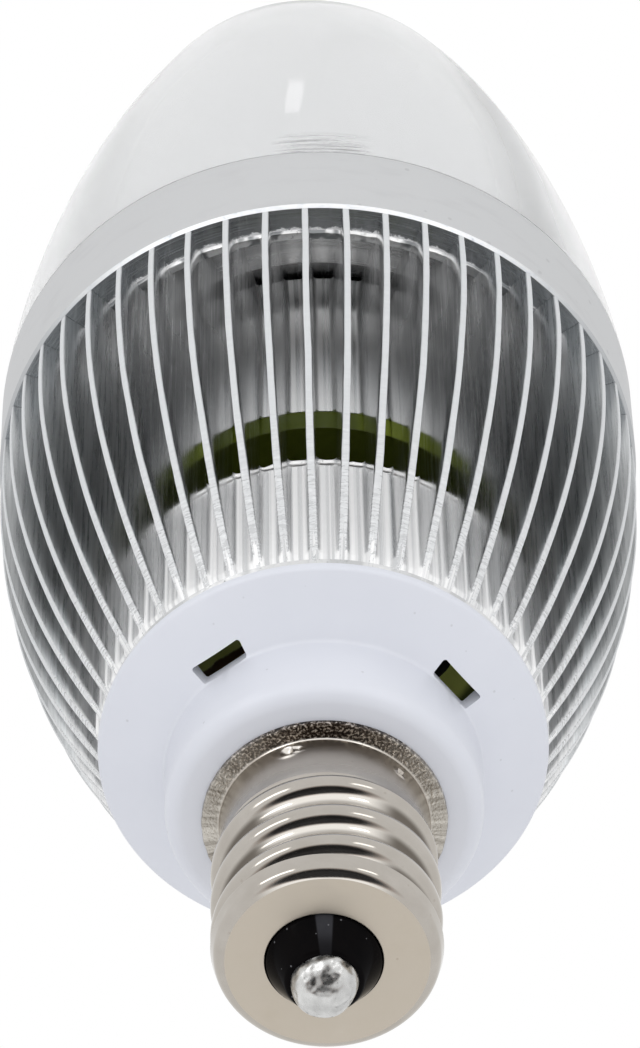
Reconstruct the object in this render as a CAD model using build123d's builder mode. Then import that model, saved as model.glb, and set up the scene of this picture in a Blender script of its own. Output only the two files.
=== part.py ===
"""A candle bulb with a finned heat sink, a clear globe and a small screw cap.

Millimetres, +Z towards the globe's tip. The origin is on the axis, on the plane
where the cap's rim seats against the white housing.
"""
import os
from math import asin, cos, degrees, pi, radians, sin, sqrt

from build123d import *

os.makedirs("parts", exist_ok=True)

# Screw cap
thread_diameter = 11.8
thread_pitch = 2.54
thread_depth = 0.55
thread_groove_radius = 0.8
thread_start = 3.2
thread_length = 7.6
shell_wall = 0.35
rim_diameter = 12.8
rim_height = 0.3
collar_diameter = 10.9
shell_height = 12.1
shoulder_height = 0.9
shell_mouth_diameter = 6.0

# Glass insulator and centre contact
insulator_lip_diameter = 8.0
insulator_lip_height = 1.2
insulator_cone_height = 1.7
insulator_tip_diameter = 3.9
contact_diameter = 3.6
contact_height = 1.7
lead_hole_diameter = 0.9

# White housing
neck_diameter = 16.6
neck_height = 4.3
neck_edge_radius = 1.0
housing_wall = 0.9
housing_rim_inset = 0.02
housing_cone_rise = 2.3
housing_rim_height = 0.4
nose_length = 2.4
nose_wall = 1.0
spigot_height = 5.0
spigot_wall = 1.2
vent_count = 4
vent_length = 3.0
vent_width = 0.9
vent_setback = 0.1
vent_first_angle = 53.0

# Heat sink
fin_count = 50
fin_first_angle = -1.35
fin_root_thickness = 0.52
fin_tip_thickness = 0.37
fin_setback = 0.15
sink_waist = 1.3
sink_height = 25.0
core_diameter = 23.7
core_proud = 0.08
core_wall = 1.05
upper_core_wall = 2.25
gap_start = 8.9
gap_height = 5.0
gap_overcut = 0.2
channel_overrun = 1.0

# Lamp plate, which carries the light sources and the globe
plate_diameter = 35.5
plate_height = 5.7
plate_floor = 2.7
plate_rim_wall = 1.55
plate_edge_chamfer = 0.2
plate_ledge = 1.85
plate_pocket_depth = 1.2
plate_lift = 0.3
plate_pocket_clearance = 0.05

# Globe
globe_height = 39.2
globe_nose_radius = 10.1
globe_nose_angle = 23.0
globe_wall = 2.0
globe_spigot_wall = 1.4

# Light sources
lamp_board_thickness = 1.6
lamp_board_clearance = 0.4
emitter_count = 3
emitter_first_angle = 90.0
emitter_circle_radius = 7.0
emitter_diameter = 7.0
emitter_height = 1.6
emitter_tab_width = 1.2
emitter_tab_reach = 2.2
emitter_tab_thickness = 0.3
lens_diameter = 5.4
lens_height = 2.2
screw_circle_radius = 10.5
screw_first_angle = 30.0
screw_head_diameter = 3.6
screw_head_height = 1.1
screw_cross_length = 2.2
screw_cross_width = 0.55
screw_shank_diameter = 2.0
screw_depth = 1.2

# Driver board and what it carries
board_thickness = 1.6
board_setback = 0.1
capacitor_groove = 0.25
capacitor_groove_share = 0.2
input_capacitor_diameter = 6.3
input_capacitor_height = 8.5
input_capacitor_x = -4.5
input_capacitor_y = -2.4
output_capacitor_diameter = 5.0
output_capacitor_height = 7.0
output_capacitor_x = 4.6
output_capacitor_y = -2.2
transformer_width = 9.0
transformer_depth = 5.0
transformer_height = 7.2
transformer_y = 5.0
core_limb = 1.6
coil_overhang = 0.7
coil_clearance = 0.1
chip_length = 4.9
chip_width = 3.9
chip_height = 1.5
chip_y = 3.6
rectifier_length = 4.7
rectifier_width = 3.9
rectifier_height = 2.4
rectifier_y = -3.6
fuse_diameter = 2.4
fuse_length = 6.0
fuse_x = 0.2
fuse_y = -6.8

# Leads
wire_diameter = 0.7
wire_clearance = 0.05
live_lead_bend_start = 1.5
live_lead_bend_end = 9.0
neutral_lead_x = 0.4
neutral_lead_gap = 0.3
neutral_lead_start = 9.4
neutral_lead_straight = 2.0
neutral_lead_slant = 3.0
lamp_lead_x = 3.2
lamp_lead_rise = 0.5
wire_bend_radius = 2.2

# Levels and radii that follow from the sizes above
crest_radius = thread_diameter / 2
root_radius = crest_radius - thread_depth
shell_bore_radius = root_radius - shell_wall
collar_radius = collar_diameter / 2
shell_end = -shell_height
shell_end_inside = shell_end + shell_wall
mouth_radius = shell_mouth_diameter / 2
insulator_end = shell_end - insulator_cone_height
contact_end = insulator_end - contact_height

sink_bottom = neck_height + housing_cone_rise + housing_rim_height
sink_top = sink_bottom + sink_height
core_radius = core_diameter / 2
core_bore_radius = core_radius - core_wall
upper_bore_radius = core_radius - upper_core_wall
gap_bottom = sink_bottom + gap_start
gap_top = gap_bottom + gap_height
board_top = gap_top
board_bottom = board_top - board_thickness
board_radius = core_radius - board_setback

sink_bottom_radius = core_radius - core_proud
sink_middle_radius = plate_diameter / 2 - sink_waist
sink_top_radius = plate_diameter / 2 - fin_setback
plate_bottom = sink_top + plate_lift
plate_seat = plate_bottom + plate_pocket_depth
plate_top = plate_bottom + plate_height
plate_floor_top = plate_bottom + plate_floor
plate_radius = plate_diameter / 2
plate_pocket_radius = plate_radius - plate_ledge
plate_recess_radius = plate_radius - plate_rim_wall
lamp_board_top = plate_floor_top + lamp_board_thickness
emitter_top = lamp_board_top + emitter_height
globe_top = plate_top + globe_height


def place(x, y, z):
    """A horizontal plane through one point."""
    return Plane(origin=(x, y, z))


def wire_along(points):
    """A round wire through the points, straight runs joined by arcs."""
    with BuildPart() as wire:
        with BuildLine() as route:
            FilletPolyline(*points, radius=wire_bend_radius)
        with BuildSketch(Plane(origin=route.line @ 0, z_dir=route.line % 0)):
            Circle(wire_diameter / 2)
        sweep(path=route.line)
    return wire.part


def capacitor(diameter, height, x, y):
    """A round can hanging from the driver board, with the groove rolled in near its seal."""
    radius = diameter / 2
    waist = board_bottom - height * capacitor_groove_share
    with BuildPart() as can:
        with BuildSketch(Plane.XZ):
            with BuildLine():
                Polyline(
                    (0, board_bottom),
                    (radius, board_bottom),
                    (radius, waist + capacitor_groove),
                    (radius - capacitor_groove, waist),
                    (radius, waist - capacitor_groove),
                    (radius, board_bottom - height),
                    (0, board_bottom - height),
                    close=True,
                )
            make_face()
        revolve(axis=Axis.Z)
    return can.part.moved(Location((x, y, 0)))


def save(part, name):
    """Label one finished piece and write it."""
    part.label = name
    export_step(part, f"parts/{name}.step")


# Screw shell: a rolled shell with a flat flange, a plain collar and a round thread
with BuildPart() as screw_shell:
    with BuildSketch(Plane.XZ):
        with BuildLine():
            Polyline(
                (shell_bore_radius, 0),
                (rim_diameter / 2, 0),
                (rim_diameter / 2, -rim_height),
                (collar_radius, -rim_height),
                (collar_radius, -thread_start + crest_radius - collar_radius),
                (crest_radius, -thread_start),
                (crest_radius, shell_end + shoulder_height),
            )
            shoulder = TangentArc(
                (crest_radius, shell_end + shoulder_height),
                (crest_radius - shoulder_height, shell_end),
                tangent=(0, -1),
            )
            Polyline(
                shoulder @ 1,
                (mouth_radius, shell_end),
                (mouth_radius, shell_end_inside),
                (insulator_lip_diameter / 2, shell_end_inside),
                (shell_bore_radius, shell_end + shoulder_height),
                (shell_bore_radius, 0),
            )
        make_face()
    revolve(axis=Axis.Z)
    with BuildLine() as thread_path:
        Helix(
            pitch=thread_pitch,
            height=thread_length,
            radius=root_radius + thread_groove_radius,
            center=(0, 0, -thread_start - thread_length),
        )
    with BuildSketch(Plane(origin=thread_path.line @ 0, z_dir=thread_path.line % 0)):
        Circle(thread_groove_radius)
    sweep(path=thread_path.line, is_frenet=True, mode=Mode.SUBTRACT)
save(screw_shell.part, "screw_shell")

# Insulator: black glass, seated on the inside of the shell's end
with BuildPart() as insulator:
    with BuildSketch(Plane.XZ):
        with BuildLine():
            Polyline(
                (lead_hole_diameter / 2, shell_end_inside + insulator_lip_height),
                (mouth_radius, shell_end_inside + insulator_lip_height),
                (insulator_lip_diameter / 2, shell_end_inside),
                (mouth_radius, shell_end_inside),
                (mouth_radius, shell_end),
                (insulator_tip_diameter / 2, insulator_end),
                (lead_hole_diameter / 2, insulator_end),
                close=True,
            )
        make_face()
    revolve(axis=Axis.Z)
save(insulator.part, "insulator")

# Centre contact: a low dome of solder on the insulator's end
contact_radius = contact_diameter / 2
contact_dome_radius = (contact_radius**2 + contact_height**2) / (2 * contact_height)
with BuildPart() as centre_contact:
    with BuildSketch(Plane.XZ):
        with BuildLine():
            Polyline((0, contact_end), (0, insulator_end), (contact_radius, insulator_end))
            RadiusArc((contact_radius, insulator_end), (0, contact_end), contact_dome_radius)
        make_face()
    revolve(axis=Axis.Z)
save(centre_contact.part, "centre_contact")

# Housing: white plastic, with a nose in the shell, a neck, a shallow cone and a spigot in the core
neck_radius = neck_diameter / 2
housing_rim_radius = sink_bottom_radius - housing_rim_inset
cone_foot = neck_height
cone_top = neck_height + housing_cone_rise
spigot_radius = core_bore_radius
spigot_inner = spigot_radius - spigot_wall
neck_inner = neck_radius - housing_wall
cone_slope = housing_cone_rise / (housing_rim_radius - neck_radius)
vent_radius = neck_radius + vent_setback + vent_width / 2
with BuildPart() as base_housing:
    with BuildSketch(Plane.XZ):
        with BuildLine():
            Polyline(
                (shell_bore_radius - nose_wall, -nose_length),
                (shell_bore_radius, -nose_length),
                (shell_bore_radius, 0),
                (neck_radius, 0),
                (neck_radius, cone_foot),
                (housing_rim_radius, cone_top),
                (housing_rim_radius, sink_bottom),
                (spigot_radius, sink_bottom),
                (spigot_radius, sink_bottom + spigot_height),
                (spigot_inner, sink_bottom + spigot_height),
                (spigot_inner, cone_foot + housing_wall + (spigot_inner - neck_radius) * cone_slope),
                (neck_inner, cone_foot + housing_wall - housing_wall * cone_slope),
                (neck_inner, housing_wall),
                (shell_bore_radius - nose_wall, housing_wall),
                close=True,
            )
        make_face()
    revolve(axis=Axis.Z)
    neck_edges = base_housing.edges().filter_by(GeomType.CIRCLE).filter_by_position(Axis.Z, 0, 0)
    fillet(neck_edges.sort_by(SortBy.RADIUS)[-1], radius=neck_edge_radius)
    with BuildSketch(place(0, 0, neck_height)):
        with PolarLocations(vent_radius, vent_count, start_angle=vent_first_angle - 90):
            Rectangle(vent_width, vent_length)
    extrude(amount=sink_bottom - neck_height, mode=Mode.SUBTRACT)
save(base_housing.part, "base_housing")

# Heat sink: a turned outline, cut into thin radial fins round a bored core
fin_pitch = 2 * pi / fin_count
channel_reach = plate_diameter / 2 + channel_overrun
root_half = core_radius * sin(fin_pitch / 2) - fin_root_thickness / 2
tip_half = channel_reach * sin(fin_pitch / 2) - fin_tip_thickness / 2
with BuildPart() as heat_sink:
    with BuildSketch(Plane.XZ):
        with BuildLine():
            outline = ThreePointArc(
                (sink_bottom_radius, sink_bottom),
                (sink_middle_radius, sink_bottom + sink_height / 2),
                (sink_top_radius, sink_top),
            )
            Polyline(
                outline @ 1,
                (plate_pocket_radius - plate_pocket_clearance, sink_top),
                (plate_pocket_radius - plate_pocket_clearance, plate_seat),
                (upper_bore_radius, plate_seat),
                (upper_bore_radius, gap_top),
                (core_radius + gap_overcut, gap_top),
                (core_radius + gap_overcut, gap_bottom),
                (core_bore_radius, gap_bottom),
                (core_bore_radius, sink_bottom),
                outline @ 0,
            )
        make_face()
    revolve(axis=Axis.Z)
    with BuildSketch(place(0, 0, sink_bottom)):
        with PolarLocations(0, fin_count, start_angle=fin_first_angle):
            Polygon(
                (core_radius, -root_half),
                (channel_reach, -tip_half),
                (channel_reach, tip_half),
                (core_radius, root_half),
                align=None,
            )
    extrude(amount=plate_seat - sink_bottom, mode=Mode.SUBTRACT)
save(heat_sink.part, "heat_sink")

# Lamp plate: a turned disc, with a pocket underneath that takes the tops of the fins
with BuildPart() as lamp_plate:
    with BuildSketch(Plane.XZ):
        with BuildLine():
            Polyline(
                (0, plate_seat),
                (plate_pocket_radius, plate_seat),
                (plate_pocket_radius, plate_bottom),
                (plate_radius - plate_edge_chamfer, plate_bottom),
                (plate_radius, plate_bottom + plate_edge_chamfer),
                (plate_radius, plate_top),
                (plate_recess_radius, plate_top),
                (plate_recess_radius, plate_floor_top),
                (0, plate_floor_top),
                close=True,
            )
        make_face()
    revolve(axis=Axis.Z)
    with BuildSketch(place(0, 0, plate_seat)):
        with Locations((-lamp_lead_x, 0), (lamp_lead_x, 0)):
            Circle(wire_diameter / 2 + wire_clearance)
    extrude(amount=plate_floor_top - plate_seat, mode=Mode.SUBTRACT)
    with BuildSketch(place(0, 0, plate_floor_top)):
        with PolarLocations(screw_circle_radius, emitter_count, start_angle=screw_first_angle):
            Circle(screw_shank_diameter / 2)
    extrude(amount=-screw_depth, mode=Mode.SUBTRACT)
save(lamp_plate.part, "lamp_plate")

# Lamp board: a metal-cored disc on the plate's floor
with BuildPart() as lamp_board:
    with BuildSketch(place(0, 0, plate_floor_top)):
        Circle(plate_recess_radius - lamp_board_clearance)
        with Locations((-lamp_lead_x, 0), (lamp_lead_x, 0)):
            Circle(wire_diameter / 2 + wire_clearance, mode=Mode.SUBTRACT)
        with PolarLocations(screw_circle_radius, emitter_count, start_angle=screw_first_angle):
            Circle(screw_shank_diameter / 2, mode=Mode.SUBTRACT)
    extrude(amount=lamp_board_thickness)
save(lamp_board.part, "lamp_board")

# Screws that hold the lamp board down
with BuildPart() as board_screws:
    with BuildSketch(place(0, 0, lamp_board_top)):
        with PolarLocations(screw_circle_radius, emitter_count, start_angle=screw_first_angle):
            Circle(screw_head_diameter / 2)
    extrude(amount=screw_head_height)
    with BuildSketch(place(0, 0, plate_floor_top - screw_depth)):
        with PolarLocations(screw_circle_radius, emitter_count, start_angle=screw_first_angle):
            Circle(screw_shank_diameter / 2)
    extrude(amount=screw_depth + lamp_board_thickness)
    slot_plane = place(0, 0, lamp_board_top + screw_head_height)
    with BuildSketch(slot_plane):
        with PolarLocations(screw_circle_radius, emitter_count, start_angle=screw_first_angle):
            Rectangle(screw_cross_length, screw_cross_width)
            Rectangle(screw_cross_width, screw_cross_length)
    extrude(amount=-screw_head_height / 2, mode=Mode.SUBTRACT)
save(board_screws.part, "board_screws")

# Light sources: a round package with two tabs, and a clear lens on each
lens_base = lens_diameter / 2
lens_radius = (lens_base**2 + lens_height**2) / (2 * lens_height)
lens_edge_angle = degrees(asin((lens_radius - lens_height) / lens_radius))
for number in range(emitter_count):
    angle = radians(emitter_first_angle + number * 360 / emitter_count)
    x = emitter_circle_radius * cos(angle)
    y = emitter_circle_radius * sin(angle)
    turned = Plane(origin=(x, y, lamp_board_top), x_dir=(-sin(angle), cos(angle), 0))
    with BuildPart() as emitter:
        with BuildSketch(turned):
            Circle(emitter_diameter / 2)
        extrude(amount=emitter_height)
        with BuildSketch(turned):
            Rectangle(emitter_diameter + 2 * emitter_tab_reach, emitter_tab_width)
        extrude(amount=emitter_tab_thickness)
    save(emitter.part, f"emitter_{number + 1}")
    with BuildPart() as lens:
        with BuildSketch(Plane(origin=(x, y, emitter_top), x_dir=(1, 0, 0), z_dir=(0, -1, 0))):
            with BuildLine():
                CenterArc((0, lens_height - lens_radius), lens_radius, lens_edge_angle, 90 - lens_edge_angle)
                Polyline((0, lens_height), (0, 0), (lens_base, 0))
            make_face()
        revolve(axis=Axis((x, y, emitter_top), (0, 0, 1)))
    save(lens.part, f"lens_{number + 1}")

# Globe: a thick clear moulding with a round nose, its foot inside the plate's rim
nose_centre = globe_top - globe_nose_radius
nose_sweep = 90 - globe_nose_angle
nose_cos = cos(radians(globe_nose_angle))
nose_sin = sin(radians(globe_nose_angle))
inner_nose_radius = globe_nose_radius - globe_wall
foot_radius = plate_recess_radius - globe_spigot_wall
with BuildPart() as globe:
    with BuildSketch(Plane.XZ):
        with BuildLine():
            outer_nose = CenterArc((0, nose_centre), globe_nose_radius, globe_nose_angle, nose_sweep)
            outer_side = TangentArc(outer_nose @ 0, (plate_radius, plate_top), tangent=(nose_sin, -nose_cos))
            inner_nose = CenterArc((0, nose_centre), inner_nose_radius, globe_nose_angle, nose_sweep)
            Polyline(inner_nose @ 0, outer_side @ 0.5 - (globe_wall, 0), (foot_radius, plate_top))
            Line(outer_nose @ 1, inner_nose @ 1)
            Polyline(
                (plate_radius, plate_top),
                (plate_recess_radius, plate_top),
                (plate_recess_radius, lamp_board_top),
                (foot_radius, lamp_board_top),
                (foot_radius, plate_top),
            )
        make_face()
    revolve(axis=Axis.Z)
save(globe.part, "globe")

# Driver board: bonded to the lower face of the upper core, inside the fins
with BuildPart() as driver_board:
    with BuildSketch(place(0, 0, board_bottom)):
        Circle(board_radius)
    extrude(amount=board_thickness)
save(driver_board.part, "driver_board")

# Capacitors hang from the underside of the driver board
save(
    capacitor(input_capacitor_diameter, input_capacitor_height, input_capacitor_x, input_capacitor_y),
    "input_capacitor",
)
save(
    capacitor(output_capacitor_diameter, output_capacitor_height, output_capacitor_x, output_capacitor_y),
    "output_capacitor",
)

# Transformer: a closed ferrite core with a coil round its middle limb
core_plane = place(0, transformer_y, board_bottom - transformer_height)
window_width = (transformer_width - 4 * core_limb) / 2
window_height = transformer_height - 2 * core_limb
window_x = core_limb + window_width / 2
with BuildPart() as transformer_core:
    with BuildSketch(core_plane):
        Rectangle(transformer_width, transformer_depth)
    extrude(amount=transformer_height)
    with BuildSketch(Plane.XZ.offset(-transformer_y - transformer_depth / 2)):
        with Locations(
            (-window_x, board_bottom - transformer_height / 2),
            (window_x, board_bottom - transformer_height / 2),
        ):
            Rectangle(window_width, window_height)
    extrude(amount=transformer_depth, mode=Mode.SUBTRACT)
save(transformer_core.part, "transformer_core")

with BuildPart() as transformer_coil:
    with BuildSketch(place(0, transformer_y, board_bottom - transformer_height + core_limb)):
        Rectangle(
            2 * (core_limb + window_width) - 2 * coil_clearance,
            transformer_depth + 2 * coil_overhang,
        )
        Rectangle(2 * core_limb, transformer_depth, mode=Mode.SUBTRACT)
    extrude(amount=window_height)
save(transformer_coil.part, "transformer_coil")

# Chips on the upper face of the driver board
with BuildPart() as driver_chip:
    with BuildSketch(place(0, chip_y, board_top)):
        Rectangle(chip_length, chip_width)
    extrude(amount=chip_height)
save(driver_chip.part, "driver_chip")

with BuildPart() as bridge_rectifier:
    with BuildSketch(place(0, rectifier_y, board_top)):
        Rectangle(rectifier_length, rectifier_width)
    extrude(amount=rectifier_height)
save(bridge_rectifier.part, "bridge_rectifier")

# Fuse resistor: stands under the board, in line with the live lead
with BuildPart() as fuse_resistor:
    with BuildSketch(place(fuse_x, fuse_y, board_bottom - fuse_length)):
        Circle(fuse_diameter / 2)
    extrude(amount=fuse_length)
save(fuse_resistor.part, "fuse_resistor")

# Leads from the cap to the driver board
live_lead = wire_along(
    [
        (0, 0, insulator_end),
        (0, 0, live_lead_bend_start),
        (fuse_x, fuse_y, live_lead_bend_end),
        (fuse_x, fuse_y, board_bottom - fuse_length),
    ]
)
save(live_lead, "live_lead")

neutral_lead_y = transformer_y - transformer_depth / 2 - coil_overhang - neutral_lead_gap - wire_diameter / 2
wall_reach = shell_bore_radius - wire_diameter / 2 - wire_clearance
neutral_wall_y = sqrt(wall_reach**2 - neutral_lead_x**2)
slant_start = neutral_lead_straight - neutral_lead_start
neutral_lead = wire_along(
    [
        (neutral_lead_x, neutral_wall_y, -neutral_lead_start),
        (neutral_lead_x, neutral_wall_y, slant_start),
        (neutral_lead_x, neutral_lead_y, slant_start + neutral_lead_slant),
        (neutral_lead_x, neutral_lead_y, board_bottom),
    ]
)
save(neutral_lead, "neutral_lead")

# Leads from the driver board to the lamp board
for name, side in (("lamp_lead_positive", 1), ("lamp_lead_negative", -1)):
    with BuildPart() as lamp_lead:
        with BuildSketch(place(side * lamp_lead_x, 0, board_top)):
            Circle(wire_diameter / 2)
        extrude(amount=lamp_board_top + lamp_lead_rise - board_top)
    save(lamp_lead.part, name)
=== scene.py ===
import math

import bmesh
import bpy
import numpy as np
from mathutils import Matrix, Vector


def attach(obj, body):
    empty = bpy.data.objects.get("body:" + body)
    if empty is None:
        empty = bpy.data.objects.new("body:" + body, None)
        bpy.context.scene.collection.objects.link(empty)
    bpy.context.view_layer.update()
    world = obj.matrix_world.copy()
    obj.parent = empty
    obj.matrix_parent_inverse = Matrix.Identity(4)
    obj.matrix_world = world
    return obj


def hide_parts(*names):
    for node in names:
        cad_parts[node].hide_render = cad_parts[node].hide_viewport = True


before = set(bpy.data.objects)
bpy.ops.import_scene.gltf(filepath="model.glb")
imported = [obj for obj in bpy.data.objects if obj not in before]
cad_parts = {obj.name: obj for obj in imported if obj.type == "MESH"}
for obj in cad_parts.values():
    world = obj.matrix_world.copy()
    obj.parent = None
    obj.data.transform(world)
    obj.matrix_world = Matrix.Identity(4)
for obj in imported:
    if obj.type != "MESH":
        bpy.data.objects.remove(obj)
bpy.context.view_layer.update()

scene = bpy.context.scene
rng = np.random.default_rng(11)
TAU = 2 * math.pi
MM = 0.001  # the bulb is drawn in millimetres, the stage in metres
WELD = 2e-7  # metres


# Mesh tools: angle 0 faces the camera side (-Y) and grows towards +X

def shade(me, sharp):
    """Smooth shading, broken where faces meet at more than the sharp angle."""
    me.polygons.foreach_set("use_smooth", [True] * len(me.polygons))
    me.set_sharp_from_angle(angle=math.radians(sharp))


def build(name, verts, faces, mats, face_mats=None, sharp=35.0):
    """A welded and shaded mesh, from points in millimetres."""
    me = bpy.data.meshes.new(name)
    me.from_pydata((np.asarray(verts, float) * MM).tolist(), [], faces)
    for m in mats:
        me.materials.append(m)
    if face_mats is not None:
        me.polygons.foreach_set("material_index", np.asarray(face_mats, np.int32))
    bm = bmesh.new()
    bm.from_mesh(me)
    bmesh.ops.remove_doubles(bm, verts=bm.verts, dist=WELD)
    bmesh.ops.recalc_face_normals(bm, faces=bm.faces)
    bm.to_mesh(me)
    bm.free()
    shade(me, sharp)
    ob = bpy.data.objects.new(name, me)
    scene.collection.objects.link(ob)
    return ob


def piece(ob, slot, *nodes):
    """Fixes a finished piece to the bulb, in place of the CAD nodes that it stands for."""
    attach(ob, "root")
    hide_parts(*nodes)


def grid_faces(rows, cols, wrap_rows=False):
    """Faces between closed rings of points; wrap_rows also joins the last ring to the first."""
    faces = []
    for i in range(rows if wrap_rows else rows - 1):
        a, b = i * cols, ((i + 1) % rows) * cols
        for j in range(cols):
            k = (j + 1) % cols
            faces.append((a + j, a + k, b + k, b + j))
    return faces


def around(r, z, angle):
    return np.stack([r * np.sin(angle), -r * np.cos(angle), z + 0 * angle], -1)


def smooth(v, a, b):
    """0 at a, 1 at b, and a soft step between them."""
    t = np.clip((v - a) / (b - a), 0, 1)
    return t**2 * (3 - 2 * t)


def rounded(points, steps=6):
    """A profile of (r, z, corner radius) as points, each corner turned into an arc."""
    out = []
    for i, (x, y, f) in enumerate(points):
        p = np.array((x, y), float)
        if f <= 0:
            out.append(p)
            continue
        a = np.array(points[i - 1][:2], float) - p
        b = np.array(points[(i + 1) % len(points)][:2], float) - p
        la, lb = np.linalg.norm(a), np.linalg.norm(b)
        u, v = a / la, b / lb
        half = math.acos(np.clip(u @ v, -1, 1)) / 2
        cut = min(f / math.tan(half), 0.49 * min(la, lb))
        radius = cut * math.tan(half)
        centre = p + (u + v) / np.linalg.norm(u + v) * radius / math.sin(half)
        s, e = p + u * cut - centre, p + v * cut - centre
        a0 = math.atan2(s[1], s[0])
        turn = (math.atan2(e[1], e[0]) - a0 + math.pi) % TAU - math.pi
        for t in np.linspace(0, 1, steps):
            out.append(centre + radius * np.array((math.cos(a0 + turn * t), math.sin(a0 + turn * t))))
    return np.array(out)


def dense(points, step, closed=False):
    """The same profile with no run longer than the step, which may depend on the place in the profile."""
    pts = list(points) + ([points[0]] if closed else [])
    out = []
    for a, b in zip(pts[:-1], pts[1:]):
        longest = step(*(np.array(a) + b) / 2) if callable(step) else step
        n = max(1, math.ceil(np.linalg.norm(np.array(b) - a) / longest))
        out += [a + (b - a) * t / n for t in range(n)]
    if not closed:
        out.append(pts[-1])
    return np.array(out)


def lathe(name, profile, segments, mats, pick=None, closed=False, sharp=35.0, shape=None):
    """A turned piece. pick gives a face's material from the middle of its profile run, and shape moves
    the turned points."""
    prof = np.asarray(profile, float)
    angle = np.arange(segments) * TAU / segments
    r = prof[:, :1] + np.zeros(segments)
    z = prof[:, 1:] + np.zeros(segments)
    if shape:
        r, z = shape(r, z, angle)
    verts = around(r, z, angle[None, :]).reshape(-1, 3)
    faces = grid_faces(len(prof), segments, closed)
    face_mats = None
    if pick:
        runs = (prof + np.roll(prof, -1, 0)) / 2
        if not closed:
            runs = runs[:-1]
        face_mats = np.repeat([pick(*run) for run in runs], segments)
    return build(name, verts, faces, mats, face_mats, sharp)


def wobble(count, reach):
    """A repeatable ring of smooth random values between -1 and 1, each step about reach samples wide."""
    coarse = rng.uniform(-1, 1, max(3, count // reach))
    places = np.arange(count) / count * len(coarse)
    return np.interp(places, np.arange(len(coarse) + 1), np.append(coarse, coarse[0]))


def circle_through(a, b, c):
    (ax, ay), (bx, by), (cx, cy) = a, b, c
    m = np.array([[bx - ax, by - ay], [cx - ax, cy - ay]]) * 2
    v = np.array([bx * bx + by * by - ax * ax - ay * ay, cx * cx + cy * cy - ax * ax - ay * ay])
    x, y = np.linalg.solve(m, v)
    return x, y, math.hypot(ax - x, ay - y)


# The arc that the fins are turned to, as the centre's (r, z) and the radius
SINK_R = 17.6
OUT_X, OUT_Z, OUT_R = circle_through((11.77, 7.0), (16.45, 19.5), (SINK_R, 32.0))


# Material tools

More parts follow.
